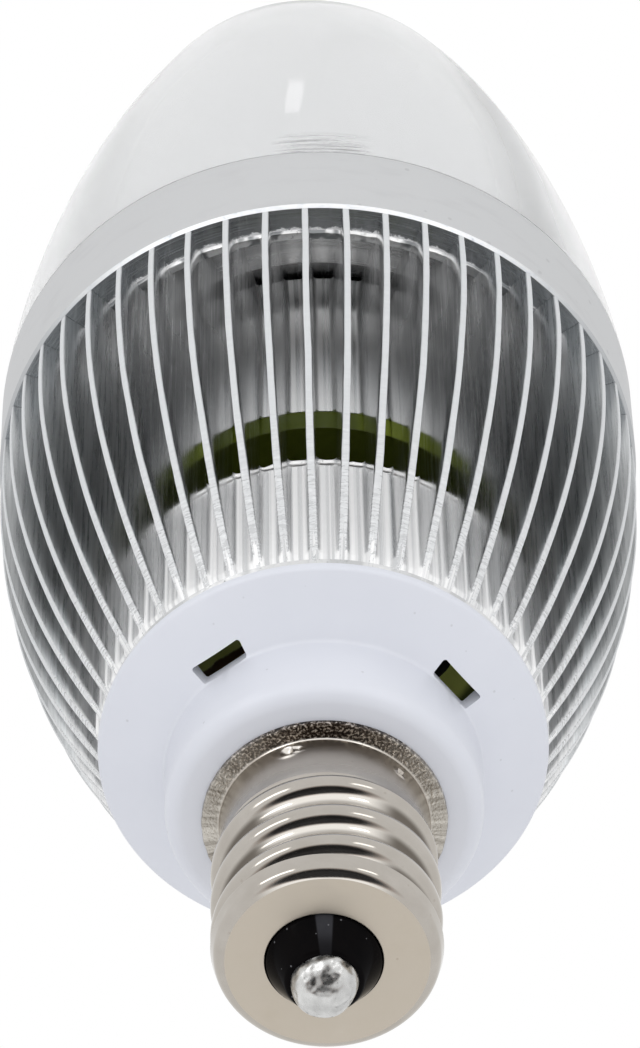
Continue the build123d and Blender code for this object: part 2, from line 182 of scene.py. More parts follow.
class Paint:
    """A node material: a Principled shader and short calls for the nodes that feed it, in millimetres."""

    def __init__(self, name, color=(0.8, 0.8, 0.8), rough=0.5, metal=0.0, **sockets):
        self.mat = bpy.data.materials.new(name)
        self.mat.use_nodes = True
        self.tree = self.mat.node_tree
        self.tree.nodes.clear()
        self.bsdf = self.node("ShaderNodeBsdfPrincipled")
        self.out = self.node("ShaderNodeOutputMaterial")
        self.put(self.out.inputs[0], self.bsdf.outputs[0])
        self.set("Base Color", color)
        self.set("Roughness", rough)
        self.set("Metallic", metal)
        for k, v in sockets.items():
            self.set(k.replace("_", " "), v)
        coords = self.node("ShaderNodeTexCoord")
        self.here = self.vec("SCALE", coords.outputs["Object"], scale=1 / MM)

    def node(self, kind, **props):
        n = self.tree.nodes.new(kind)
        for k, v in props.items():
            setattr(n, k, v)
        return n

    def put(self, socket, value):
        if isinstance(value, bpy.types.NodeSocket):
            self.tree.links.new(value, socket)
        elif hasattr(value, "__len__") and socket.type == "RGBA":
            socket.default_value = (*value[:3], 1.0)
        else:
            socket.default_value = value

    def set(self, name, value):
        self.put(self.bsdf.inputs[name], value)

    def vec(self, op, a, b=None, scale=None):
        n = self.node("ShaderNodeVectorMath", operation=op)
        self.put(n.inputs[0], a)
        if b is not None:
            self.put(n.inputs[1], b)
        if scale is not None:
            self.put(n.inputs["Scale"], scale)
        return n.outputs[1] if op in ("LENGTH", "DOT_PRODUCT") else n.outputs[0]

    def math(self, op, a, b=0.0, c=None):
        n = self.node("ShaderNodeMath", operation=op)
        self.put(n.inputs[0], a)
        self.put(n.inputs[1], b)
        if c is not None:
            self.put(n.inputs[2], c)
        return n.outputs[0]

    def times(self, value, *others):
        for other in others:
            value = self.math("MULTIPLY", value, other)
        return value

    def split(self, vector):
        n = self.node("ShaderNodeSeparateXYZ")
        self.put(n.inputs[0], vector)
        return n.outputs

    def pair(self, x, y):
        """A place on a flat map, for noise that follows two other values."""
        n = self.node("ShaderNodeCombineXYZ")
        self.put(n.inputs[0], x)
        self.put(n.inputs[1], y)
        return n.outputs[0]

    def height(self):
        return self.split(self.here)[2]

    def level(self):
        """The place with its height taken out."""
        return self.vec("MULTIPLY", self.here, (1, 1, 0))

    def radius(self):
        return self.vec("LENGTH", self.level())

    def angle(self):
        x, y, _ = self.split(self.here)
        return self.math("ARCTAN2", x, self.times(y, -1.0))

    def off_front(self):
        """How far round from the front, to either side."""
        return self.math("ABSOLUTE", self.angle())

    def noise(self, stretch, scale, detail, rough, at=None, distort=0.0):
        n = self.node("ShaderNodeTexNoise")
        self.put(n.inputs["Vector"], self.vec("MULTIPLY", self.here if at is None else at, stretch))
        self.put(n.inputs["Scale"], scale)
        self.put(n.inputs["Detail"], detail)
        self.put(n.inputs["Roughness"], rough)
        self.put(n.inputs["Distortion"], distort)
        return n.outputs["Fac"]

    def specks(self, scale, core, edge):
        """Scattered dots, full out to the core and gone at the edge."""
        n = self.node("ShaderNodeTexVoronoi")
        self.put(n.inputs["Vector"], self.here)
        self.put(n.inputs["Scale"], scale)
        return self.span(n.outputs["Distance"], core, edge, 1.0, 0.0)

    def span(self, value, a, b, low=0.0, high=1.0, smooth=True):
        """Low where the value is at a, high where it is at b."""
        n = self.node("ShaderNodeMapRange", interpolation_type="SMOOTHSTEP" if smooth else "LINEAR")
        for i, v in enumerate((value, a, b, low, high)):
            self.put(n.inputs[i], v)
        return n.outputs[0]

    def spread(self, noise, low, high):
        """A value that follows a noise over its usual range."""
        return self.span(noise, 0.3, 0.7, low, high)

    def ramp(self, fac, stops):
        n = self.node("ShaderNodeValToRGB")
        el = n.color_ramp.elements
        while len(el) < len(stops):
            el.new(0.5)
        for e, (pos, col) in zip(el, stops):
            e.position = pos
            e.color = (*col, 1.0) if hasattr(col, "__len__") else (col, col, col, 1.0)
        self.put(n.inputs[0], fac)
        return n.outputs[0]

    def mix(self, fac, a, b, blend="MIX"):
        n = self.node("ShaderNodeMix", data_type="RGBA", blend_type=blend)
        self.put(n.inputs[0], fac)
        self.put(n.inputs[6], a)
        self.put(n.inputs[7], b)
        return n.outputs[2]

    def tint(self, a, b):
        """One colour multiplied by another."""
        return self.mix(1.0, a, b, "MULTIPLY")

    def blend(self, fac, a, b):
        n = self.node("ShaderNodeMix", data_type="FLOAT")
        self.put(n.inputs[0], fac)
        self.put(n.inputs[2], a)
        self.put(n.inputs[3], b)
        return n.outputs[0]

    def bump(self, height, strength, depth, under=None):
        """Surface relief, on top of the relief under it."""
        n = self.node("ShaderNodeBump")
        self.put(n.inputs["Strength"], strength)
        self.put(n.inputs["Distance"], depth * MM)
        self.put(n.inputs["Height"], height)
        if under is not None:
            self.put(n.inputs["Normal"], under)
        self.set("Normal", n.outputs[0])
        return n.outputs[0]

    def mix_shaders(self, fac, a, b):
        """Gives the surface a mix of two shaders in place of the Principled one alone."""
        n = self.node("ShaderNodeMixShader")
        for i, v in enumerate((fac, a, b)):
            self.put(n.inputs[i], v)
        self.put(self.out.inputs[0], n.outputs[0])


# Finishes

def fin_edge():
    """Turned aluminium on the fins' outer edges: fine rings, brighter and more torn near the housing."""
    p = Paint("fin_edge", rough=0.42, metal=0.4)
    rings = p.noise((0.4, 0.4, 9.0), 1.0, 4.0, 0.7)
    tears = p.noise((1.2, 1.2, 6.0), 1.1, 3.0, 0.6)
    low = p.span(p.height(), 19.0, 9.0)
    pale = p.mix(rings, (0.59, 0.605, 0.615), (0.775, 0.79, 0.8))
    torn = p.ramp(tears, [(0.36, 0.44), (0.45, 0.62), (0.55, 0.74), (0.66, 0.95)])
    p.set("Base Color", p.mix(p.times(low, 0.4), pale, torn))
    p.set("Roughness", p.blend(low, p.spread(rings, 0.4, 0.52), p.spread(tears, 0.2, 0.4)))
    lines = p.bump(rings, 0.25, 0.02)
    p.bump(tears, p.times(low, 0.09), 0.02, lines)
    return p.mat


def fin_side():
    """Drawn aluminium between the fins: close to a mirror and streaked lengthways, with a haze under the
    plate. Away from the front it is rougher and carries painted shade, darker towards the turned outline
    and lifted by painted light near the plate and near the housing."""
    p = Paint("fin_side", rough=0.12, metal=1.0)
    z = p.height()
    aside = p.span(p.off_front(), 0.3, 0.9)
    streaks = p.noise((5.0, 5.0, 0.12), 1.0, 5.0, 0.65)
    broad = p.noise((0.9, 0.9, 0.05), 1.0, 2.0, 0.5)
    tone = p.mix(p.span(streaks, 0.32, 0.72), (0.68, 0.685, 0.69), (0.98, 0.982, 0.985))
    tone = p.tint(tone, p.mix(broad, (0.92, 0.92, 0.92), (1.02, 1.02, 1.02)))
    rise = p.math("SUBTRACT", z, OUT_Z)
    reach = p.math("SQRT", p.math("SUBTRACT", OUT_R**2, p.times(rise, rise)))
    depth = p.math("SUBTRACT", p.math("ADD", reach, OUT_X), p.radius())
    # painted shade: darker towards the turned outline, only away from the front
    painted_shade = p.ramp(p.span(depth, 0.0, 3.0, smooth=False), [
        (0.0, (0.4, 0.41, 0.415)), (0.5, (0.8, 0.81, 0.81)), (1.0, (1.0, 1.0, 1.0))])
    # painted light: less of that shade near the plate and near the housing
    lift = p.math("ADD", p.span(z, 25.0, 30.0, 1.0, 1.5), p.span(z, 18.0, 9.0, 0.0, 1.6))
    painted_shade = p.vec("MINIMUM", p.vec("SCALE", painted_shade, scale=lift), (1.0, 1.0, 1.0))
    p.set("Base Color", p.tint(tone, p.mix(aside, (1.0, 1.0, 1.0), painted_shade)))
    haze = p.span(p.math("MULTIPLY_ADD", broad, 4.0, z), 26.0, 30.5, 0.0, 0.5)
    haze = p.times(haze, p.span(depth, 0.5, 2.0))
    p.set("Metallic", p.math("SUBTRACT", 1.0, haze))
    mirror, rougher = p.span(streaks, 0.25, 0.75, 0.1, 0.26), p.span(streaks, 0.25, 0.75, 0.22, 0.38)
    p.set("Roughness", p.blend(aside, mirror, rougher))
    p.bump(streaks, 0.12, 0.02)
    return p.mat


def channel_floor():
    """The rounded floors of the channels, paler than the fins' sides and drawn lengthways, with painted shade
    that darkens them towards the plate.
    """
    p = Paint("channel_floor", rough=0.3, metal=0.85)
    spoke = p.vec("NORMALIZE", p.level())
    streaks = p.noise((1, 1, 1), 42.0, 2.0, 0.5, at=spoke)
    # painted shade: darker with height, towards the plate
    tone = p.ramp(p.span(p.height(), 7.0, 33.5, smooth=False), [
        (0.0, 0.88), (0.33, 0.9), (0.52, 0.85), (0.7, 0.68), (0.9, 0.64), (0.95, 0.62), (1.0, 0.6)])
    drawn = p.mix(p.span(streaks, 0.36, 0.62), (0.7, 0.71, 0.72), (1.08, 1.08, 1.08))
    p.set("Base Color", p.tint(tone, drawn))
    p.set("Roughness", p.spread(streaks, 0.22, 0.38))
    p.bump(streaks, 0.25, 0.02)
    return p.mat


def burr():
    """Bright torn metal where a cutter broke out; under the plate its brightness is a painted highlight that
    shows only in front, in stretches.
    """
    p = Paint("burr", rough=0.28, metal=1.0)
    z = p.height()
    grain = p.noise((1, 1, 1), 3.2, 3.0, 0.7)
    bright = p.ramp(grain, [(0.28, 0.4), (0.38, 0.92), (0.5, 1.0)])
    breaks = p.span(p.noise((1, 1, 0), 0.45, 3.0, 0.6), 0.42, 0.5)
    # painted highlight: under the plate the bright metal shows only in front
    front = p.span(p.off_front(), 0.75, 0.4)
    kept = p.blend(p.span(z, 8.0, 7.4), 1.0, p.math("MULTIPLY_ADD", breaks, 0.2, 0.4))
    kept = p.blend(p.span(z, 30.0, 31.0), kept, p.times(breaks, front))
    p.set("Base Color", p.mix(kept, (0.3, 0.31, 0.32), bright))
    p.bump(grain, 0.35, 0.06)
    return p.mat


def plate_band():
    """Fine matte blasted aluminium on the band round the plate."""
    p = Paint("plate_band", rough=0.55, metal=0.35)
    grain = p.noise((1, 1, 1), 9.0, 4.0, 0.7)
    marks = p.noise((0.5, 0.5, 1.6), 0.7, 3.0, 0.5)
    specks = p.specks(0.55, 0.06, 0.1)
    pale = p.mix(grain, (0.56, 0.565, 0.57), (0.635, 0.64, 0.645))
    pale = p.mix(p.times(p.span(marks, 0.5, 0.8), 0.35), pale, (0.5, 0.5, 0.51))
    p.set("Base Color", p.mix(p.times(specks, 0.4), pale, (0.4, 0.4, 0.41)))
    p.set("Roughness", p.spread(grain, 0.5, 0.62))
    p.bump(grain, 0.2, 0.02)
    return p.mat


def plate_face():
    """The plate's underside: a dark turned ledge with scratches, torn bright at the edge of a paler pocket
    that carries painted shade and painted reflections in rings, darkest next to the core.
    """
    p = Paint("plate_face", rough=0.2, metal=1.0)
    r = p.radius()
    spun = p.pair(r, p.times(p.angle(), 0.6))
    rings = p.noise((9.0, 1.0, 0.0), 1.0, 4.0, 0.6, at=spun)
    scratch = p.span(p.noise((2.6, 0.3, 1.0), 1.3, 2.0, 0.4, distort=0.6), 0.6, 0.68)
    ledge = p.mix(rings, (0.41, 0.43, 0.45), (0.54, 0.56, 0.58))
    # painted shade and painted reflections: rings across the pocket, darkest next to the core
    bands = p.ramp(p.span(r, 12.0, 15.0, smooth=False), [
        (0.0, 0.3), (0.2, 0.34), (0.4, 0.44), (0.45, 0.5), (0.47, 1.05), (0.51, 0.98), (0.75, 1.0),
        (0.8, 0.78), (1.0, 0.74)])
    pocket = p.tint(bands, p.mix(rings, (0.9, 0.9, 0.9), (1.0, 1.0, 1.0)))
    tone = p.mix(p.span(r, 15.8, 16.0), pocket, ledge)
    tone = p.mix(p.times(scratch, 0.5), tone, (0.66, 0.68, 0.7))
    ragged = p.math("MULTIPLY_ADD", p.noise((1, 1, 1), 1.3, 4.0, 0.7), 1.1, r)
    torn = p.times(p.span(ragged, 16.95, 16.8), p.span(r, 15.7, 15.85))
    p.set("Base Color", p.mix(torn, tone, (0.98, 0.98, 0.99)))
    p.set("Metallic", p.math("SUBTRACT", 1.0, torn))
    p.set("Roughness", p.math("MAXIMUM", p.spread(rings, 0.14, 0.3), p.times(torn, 0.4)))
    turned = p.bump(rings, 0.15, 0.01)
    p.bump(p.noise((1, 1, 1), 2.2, 3.0, 0.6), p.times(torn, 0.9), 0.25, turned)
    return p.mat


def bright_turned():
    """The cut chamfer under the band, with a painted highlight: bright in front, greyer away from it."""
    p = Paint("bright_turned", rough=0.3, metal=0.3)
    nicks = p.noise((1, 1, 3), 2.0, 3.0, 0.6)
    bright = p.ramp(nicks, [(0.25, (0.6, 0.62, 0.66)), (0.4, (0.9, 0.92, 0.95)), (0.6, (1.0, 1.0, 1.0))])
    # painted highlight: bright only in front
    p.set("Base Color", p.mix(p.span(p.off_front(), 0.45, 1.1), bright, (0.5, 0.51, 0.52)))
    p.bump(nicks, 0.3, 0.03)
    return p.mat


def nickel():
    """Nickel plate: warm and bright, with a pressed grain under the flange and smeared marks on the shell.
    Painted shade darkens the grooves away from the front, painted highlights brighten the downward faces
    in front, and a painted reflection makes the flange dark in front and behind and lighter at the sides."""
    p = Paint("nickel", rough=0.16, metal=1.0)
    z, r, turn = p.height(), p.radius(), p.angle()
    aside = p.math("ABSOLUTE", turn)
    smears = p.noise((0.7, 0.7, 1.0), 0.8, 3.0, 0.6)

    thread = p.mix(smears, (0.4, 0.37, 0.33), (0.53, 0.5, 0.46))
    # painted shade in the grooves, away from the front
    groove_shade = p.times(p.span(r, 5.6, 5.35), p.span(aside, 0.35, 0.8, 0.0, 0.85), p.span(z, -11.2, -10.9))
    base = p.mix(p.span(z, -4.0, -3.4), p.mix(groove_shade, thread, (0.09, 0.075, 0.06)), thread)
    collar = p.mix(smears, (0.5, 0.455, 0.4), (0.58, 0.54, 0.49))
    base = p.mix(p.span(z, -3.0, -2.0), base, collar)
    # painted highlight on the downward faces near the grooves, in front
    downward = p.span(p.split(p.node("ShaderNodeNewGeometry").outputs["Normal"])[2], -0.1, -0.4)
    front_highlight = p.times(downward, p.span(r, 5.6, 5.5), p.span(aside, 0.75, 0.35))
    base = p.mix(front_highlight, base, (0.85, 0.81, 0.75))

    flange = p.span(z, -0.36, -0.31)
    grain = p.noise((1, 1, 1), 6.5, 2.0, 0.6)
    pressed = p.ramp(grain, [
        (0.42, (0.018, 0.012, 0.009)), (0.53, (0.13, 0.1, 0.08)), (0.62, (0.7, 0.64, 0.57))])
    teeth = p.noise((1.0, 0.25, 0.0), 1.6, 3.0, 0.6, at=p.pair(p.times(turn, 14.0), r))
    # painted reflection: the flange's teeth lighter at the sides, the pressed grain darker in front and behind
    lit_teeth = p.ramp(teeth, [(0.32, (0.3, 0.275, 0.24)), (0.6, (0.6, 0.57, 0.52))])
    facing = p.math("POWER", p.math("ABSOLUTE", p.math("COSINE", turn)), 1.6)
    base = p.mix(flange, base, p.mix(facing, lit_teeth, pressed))

    pits = p.specks(0.9, 0.05, 0.09)
    p.set("Base Color", p.mix(p.times(pits, 0.25), base, (0.3, 0.25, 0.2)))
    p.set("Roughness", p.blend(p.span(z, -3.4, -2.4), p.spread(smears, 0.08, 0.15), 0.28))
    worn = p.bump(smears, 0.06, 0.03)
    p.bump(grain, p.times(flange, 0.9), 0.08, worn)
    return p.mat


def end_nickel():
    """The shell's pressed end: the same plate, softer, with a faint brown cast."""
    p = Paint("end_nickel", rough=0.34, metal=0.85)
    cloud = p.noise((1, 1, 1), 0.55, 3.0, 0.55)
    specks = p.specks(0.5, 0.045, 0.075)
    base = p.mix(cloud, (0.49, 0.435, 0.36), (0.58, 0.525, 0.45))
    p.set("Base Color", p.mix(p.times(specks, 0.6), base, (0.25, 0.18, 0.12)))
    p.set("Roughness", p.spread(cloud, 0.28, 0.4))
    p.bump(p.noise((1, 1, 1), 5.0, 3.0, 0.6), 0.05, 0.02)
    return p.mat


def black_glass():
    """Fired black glass with a painted reflection, a grey line down its front, and a few dust specks."""
    p = Paint("black_glass", rough=0.06, IOR=1.52, Specular_IOR_Level=0.015)
    cloud = p.noise((1, 1, 1), 0.8, 3.0, 0.6)
    dust = p.specks(1.3, 0.05, 0.08)
    base = p.mix(cloud, (0.002, 0.002, 0.0025), (0.006, 0.005, 0.005))
    # painted reflection: a grey line down the front, weaker towards the contact
    line = p.span(p.math("ABSOLUTE", p.math("ADD", p.angle(), 0.04)), 0.17, 0.13)
    line = p.times(line, p.span(p.height(), -13.6, -12.4, 0.25, 1.0))
    base = p.mix(line, base, p.mix(cloud, (0.03, 0.03, 0.034), (0.05, 0.05, 0.056)))
    p.set("Base Color", p.mix(p.times(dust, 0.3), base, (0.4, 0.4, 0.42)))
    p.set("Roughness", p.spread(cloud, 0.05, 0.12))
    p.bump(cloud, 0.08, 0.05)
    return p.mat


def solder():
    """Frozen solder: silvery and smooth, with a few dents, and flux in specks and at its foot."""
    p = Paint("solder", rough=0.3, metal=1.0)
    dents = p.noise((1, 1, 1), 1.1, 1.2, 0.5)
    fine = p.noise((1, 1, 1), 6.0, 3.0, 0.7)
    flux = p.ramp(p.noise((1.2, 0.8, 1.0), 1.6, 3.0, 0.6), [(0.27, 0.15), (0.35, 0.85), (0.6, 1.0)])
    base = p.tint(p.mix(dents, (0.45, 0.45, 0.445), (0.82, 0.82, 0.81)), flux)
    p.set("Base Color", p.mix(p.span(p.height(), -13.42, -13.15), base, (0.16, 0.08, 0.025)))
    p.set("Roughness", p.spread(fine, 0.24, 0.38))
    soft = p.bump(dents, 0.75, 0.4)
    p.bump(fine, 0.05, 0.02, soft)
    return p.mat


def white_plastic():
    """Cool white moulded plastic with a faint spark texture, a little dust and a painted shadow line at the
    back of its rim."""
    p = Paint("white_plastic", rough=0.36, IOR=1.5)
    z = p.height()
    skin = p.noise((1, 1, 1), 7.0, 3.0, 0.6)
    cloud = p.noise((1, 1, 1), 0.35, 3.0, 0.5)
    dust = p.specks(0.6, 0.03, 0.06)
    base = p.mix(cloud, (0.7, 0.715, 0.775), (0.745, 0.76, 0.815))
    base = p.mix(p.times(dust, 0.35), base, (0.4, 0.4, 0.42))
    # painted shadow: a thin dark line round the back of the rim
    line = p.times(p.span(z, 6.03, 6.1), p.span(z, 6.22, 6.16), p.span(p.radius(), 11.68, 11.74),
                   p.span(p.off_front(), 1.3, 1.8, 0.0, 0.8))
    p.set("Base Color", p.mix(line, base, (0.14, 0.14, 0.14)))
    p.set("Roughness", p.spread(skin, 0.32, 0.44))
    p.bump(skin, 0.08, 0.02)
    return p.mat


def clear_plastic():
    """Clear moulded plastic with a slight haze, painted shade in faint stripes up its sides, stronger on one
    side, and painted reflections as dark streaks in front, by the rim.
    """
    p = Paint("clear_plastic", (0.97, 0.975, 0.98), 0.08, IOR=1.48, Transmission_Weight=1.0)
    turn = p.angle()
    waves = p.noise((1, 1, 0.5), 0.12, 2.0, 0.5)
    p.set("Roughness", p.spread(waves, 0.05, 0.12))
    p.bump(waves, 0.1, 0.4)
    # painted shade: soft stripes up the sides, stronger on one side
    off_stripe = p.math("ABSOLUTE", p.math("SUBTRACT", p.math("ABSOLUTE", turn), 0.82))
    shade_stripes = p.times(p.span(off_stripe, 0.2, 0.02), p.span(turn, -0.4, 0.4, 0.45, 1.0), p.spread(waves, 0.6, 1.0))
    # painted reflection: dark streaks in front, low by the rim
    lines = p.ramp(p.noise((0.2, 0.2, 5.0), 1.0, 3.0, 0.6), [(0.42, 0.0), (0.62, 1.0)])
    off_streaks = p.math("ABSOLUTE", p.math("SUBTRACT", turn, 0.035))
    reflected_streaks = p.times(lines, p.span(p.height(), 41.0, 39.6), p.span(off_streaks, 0.19, 0.08))
    tone = p.mix(waves, (0.82, 0.825, 0.835), (0.9, 0.905, 0.91))
    tone = p.mix(shade_stripes, tone, (0.5, 0.505, 0.5))
    haze = p.node("ShaderNodeBsdfDiffuse")
    p.put(haze.inputs["Color"], p.mix(reflected_streaks, tone, (0.25, 0.25, 0.25)))
    share = p.math("MULTIPLY_ADD", shade_stripes, 0.26, p.math("MULTIPLY_ADD", reflected_streaks, 0.35, 0.2))
    p.mix_shaders(share, p.bsdf.outputs[0], haze.outputs[0])
    return p.mat


def plain(name, a, b, scale, rough, metal=0.0, relief=0.1, stretch=(1, 1, 1), **sockets):
    """A finish for the pieces inside: two close tones, broken up at one scale, with matching relief."""
    p = Paint(name, rough=rough, metal=metal, **sockets)
    n = p.noise(stretch, scale, 3.0, 0.6)
    p.set("Base Color", p.mix(n, a, b))
    p.set("Roughness", p.spread(n, rough * 0.85, min(1.0, rough * 1.2)))
    p.bump(n, relief, 0.03)
    return p.mat


def sleeve_olive():
    """A capacitor's olive sleeve, with painted light on the side towards a vent and painted shade, dark brown,
    on the rest, the split ragged.
    """
    p = Paint("sleeve_olive", rough=0.35)
    grain = p.noise((1, 1, 1), 1.2, 2.0, 0.5)
    # painted light and shade: bright olive towards a vent, dark brown away from it
    toward_vent = p.vec("DOT_PRODUCT", p.here, (-0.59, -0.81, 0.0))
    toward_vent = p.math("MULTIPLY_ADD", grain, 0.4, toward_vent)
    p.set("Base Color", p.mix(p.span(toward_vent, 5.5, 5.6), (0.12, 0.06, 0.02), (0.92, 0.98, 0.3)))
    p.set("Roughness", p.spread(grain, 0.3, 0.42))
    p.bump(grain, 0.1, 0.03)
    return p.mat


def board_green():
    """Green solder mask, with painted shade on the underside and painted light on the rim, painted shadows in
    stretches along the rim, and painted light and shade in patches under the middle.
    """
    p = Paint("board_green", rough=0.42, Specular_IOR_Level=0.15)
    weave = p.noise((1, 1, 1), 1.6, 3.0, 0.6)
    stretches = p.span(p.noise((1, 1, 0), 0.22, 1.0, 0.5), 0.42, 0.58)
    rim = p.mix(stretches, (0.1, 0.13, 0.012), (0.24, 0.3, 0.03))
    under = p.mix(weave, (0.05, 0.065, 0.006), (0.09, 0.11, 0.012))
    # painted light and shade in patches under the middle
    patches = p.ramp(p.noise((1, 1, 0), 0.3, 1.0, 0.5), [(0.42, (0.01, 0.01, 0.004)), (0.5, (0.6, 0.66, 0.16))])
    under = p.mix(p.span(p.radius(), 9.8, 9.2), under, patches)
    # painted shade on the underside, painted light on the rim
    p.set("Base Color", p.mix(p.span(p.height(), 19.3, 19.45), under, rim))
    p.set("Roughness", p.spread(weave, 0.36, 0.5))
    p.bump(weave, 0.12, 0.03)
    return p.mat


EDGE, SIDE, FLOOR, BURR = fin_edge(), fin_side(), channel_floor(), burr()
BAND, FACE, CUT = plate_band(), plate_face(), bright_turned()
NICKEL, END, GLASS, SOLDER = nickel(), end_nickel(), black_glass(), solder()
WHITE, CLEAR = white_plastic(), clear_plastic()


# Heat sink: turned outline, 50 fins, and a fluted core in two lengths with a gap between them

FINS = 50
FIN_TURN = math.radians(-1.35)
FIN_THICK, FIN_TAPER = 0.36, 0.1  # at the outline, and what a fin gains down to its root
SINK_Z0, SINK_Z1, SEAT_Z = 6.4, 32.0, 33.5
FIN_TOP = 32.28  # just under the plate's ledge
GAP_Z0, GAP_Z1 = 15.9, 20.9
CORE_R, POCKET_R = 11.85, 15.65
ROOT_R = CORE_R - 0.15  # the fins' roots, sunk in the core
EDGE_IN, EDGE_BEND = 0.07, 0.012  # where a fin's rounded edge starts and bends, under the outline
SIDE_SHARES = np.array([0.0, 0.12, 0.3, 0.55, 0.8])  # points down a fin's side, from its root outwards
FLUTE_STEPS = 16  # points across each channel's floor
LIP = ((0.03, 0.1, 0.2), (0.1, 0.17, 0.4), (0.2, 0.19, 0.7),
       (0.3, 0.14, 1.0), (0.34, 0.04, 1.0), (0.28, -0.28, 0.6))  # a torn lip's rise, reach and raggedness
SHOULDER = ((0.41, 0.76), (0.37, 0.55), (0.35, -0.55), (0.0, -0.55))  # a seated end's drop and reach


def outline(z):
    return OUT_X + np.sqrt(OUT_R**2 - (np.asarray(z) - OUT_Z) ** 2)


def half_thick(r):
    return 0.5 * (FIN_THICK + FIN_TAPER * (SINK_R - r) / (SINK_R - CORE_R))


def fin_point(r, s, z, turn):
    """A point at a radius along a fin and a distance to its side."""
    return r * math.sin(turn) + s * math.cos(turn), -r * math.cos(turn) + s * math.sin(turn), z


def fin_section(z, width, tear_l, tear_r, nick):
    """A fin's section at one height, as (radius, distance to the side) from root to root over its edge."""
    r1 = float(outline(z))
    inner = CORE_R + 0.2 if GAP_Z0 < z < GAP_Z1 else min(ROOT_R, r1 - 0.1)
    r_side = inner + (r1 - EDGE_IN - inner) * SIDE_SHARES
    h_side = half_thick(r_side) * (1 if r1 > CORE_R + 0.8 else width)
    h = float(half_thick(r1)) * width
    left = [*zip(r_side, -h_side), (r1 - EDGE_IN, -h - tear_l), (r1 - EDGE_BEND, -h * 0.86 - tear_l)]
    middle = [(r1, -h * 0.45), (r1 + nick * 0.4, 0.0), (r1, h * 0.45)]
    right = [(r1 - EDGE_BEND, h * 0.86 + tear_r), (r1 - EDGE_IN, h + tear_r), *zip(r_side[::-1], h_side[::-1])]
    return left + middle + right


def make_fins():
    """All fins, their edges finely torn towards the housing, each with a plain block up into the pocket."""
    rows = np.concatenate([np.linspace(SINK_Z0 + 0.05, 16.0, 54), np.linspace(16.3, FIN_TOP, 46)])
    torn = np.clip((19.0 - rows) / 9.0, 0, 1)
    sides = len(SIDE_SHARES)
    cols = 2 * sides + 7
    strip = [0 if sides <= j <= sides + 5 else 1 for j in range(cols)]
    block = ((ROOT_R, -0.25), (POCKET_R, -0.2), (POCKET_R, 0.2), (ROOT_R, 0.25))
    verts, faces, mats = [], [], []
    for f in range(FINS):
        turn = f * TAU / FINS + FIN_TURN
        lean = rng.uniform(-0.03, 0.03)
        slack = np.interp(rows, np.linspace(7, 32, 9), rng.uniform(-0.02, 0.02, 9))
        width = 1 + np.interp(rows, np.linspace(7, 32, 30), rng.uniform(-0.05, 0.05, 30))
        tear_l = torn * np.clip(rng.normal(0.0, 0.002, len(rows)), -0.005, 0.006)
        tear_r = torn * np.clip(rng.normal(0.001, 0.003, len(rows)), -0.006, 0.01)
        nick = 0.03 * torn * rng.uniform(-1, 0.2, len(rows))
        base = len(verts)
        for i, z in enumerate(rows):
            for r, s in fin_section(z, width[i], tear_l[i], tear_r[i], nick[i]):
                verts.append(fin_point(r, s + slack[i] + lean * (r - CORE_R) / 6, z, turn))
        top = len(verts)
        faces += [tuple(base + q for q in face) for face in grid_faces(len(rows), cols)]
        faces += [tuple(range(base, base + cols))[::-1], tuple(range(top - cols, top))]
        mats += strip * (len(rows) - 1) + [0, 0]
        verts += [fin_point(r, s, z, turn) for z in (SINK_Z1 - 0.2, SEAT_Z) for r, s in block]
        faces += [tuple(top + q for q in face) for face in grid_faces(2, 4) + [(4, 5, 6, 7)]]
        mats += [1] * 5
    return build("heat_sink_fins", verts, faces, [EDGE, SIDE], mats, sharp=50)


def make_core(name, z0, z1, bore, lip):
    """A fluted ring between the fins, its floors rounded into the fins' roots. It ends in a torn lip, or
    flares out into the pocket."""
    n = FINS * FLUTE_STEPS
    angle = np.arange(n) * TAU / n
    u = (((angle - FIN_TURN) * FINS / TAU) % 1.0) * 2 - 1
    flute = CORE_R - 0.06 + 0.09 * np.abs(u / 0.64) ** 6
    ragged = wobble(n, 5) * 0.5 + wobble(n, 17) * 0.5
    end_z = z1 - (0.3 if lip else 0.45)
    rings, mats = [], []
    for z in np.linspace(z0, end_z, 40):
        flare = 0.0 if lip else 0.82 * max(0.0, (z - z1 + 2.8) / 2.35) ** 2
        rings.append(around(np.minimum(flute + flare, outline(z)), z, angle))
        mats.append(1 if z < SINK_Z0 + 0.7 else 0)
    if lip:
        rings += [around(flute + dr + 0.04 * ragged, end_z + dz + 0.16 * rough * ragged, angle)
                  for dz, dr, rough in LIP]
        mats += [1] * len(LIP)
    else:
        rings += [around(flute + dr, z1 - dz + 0.03 * ragged * (dz > 0), angle) for dz, dr in SHOULDER]
        mats += [0] * len(SHOULDER)
    rings += [around(bore + 0 * angle, z, angle) for z in (z1 - (0.1 if lip else 0.0), z0)]
    mats += [0, 0]
    faces = grid_faces(len(rings), n, True)
    return build(name, np.concatenate(rings), faces, [FLOOR, BURR], np.repeat(mats[1:] + [0], n), sharp=50)


piece(make_fins(), "aluminium", "heat_sink")
piece(make_core("heat_sink_core_lower", SINK_Z0, GAP_Z0, 10.8, True), "aluminium", "heat_sink")
piece(make_core("heat_sink_core_upper", GAP_Z1, SEAT_Z, 9.6, False), "aluminium", "heat_sink")


# Lamp plate: matte band, bright chamfer, dark turned underside, torn edge at the pocket

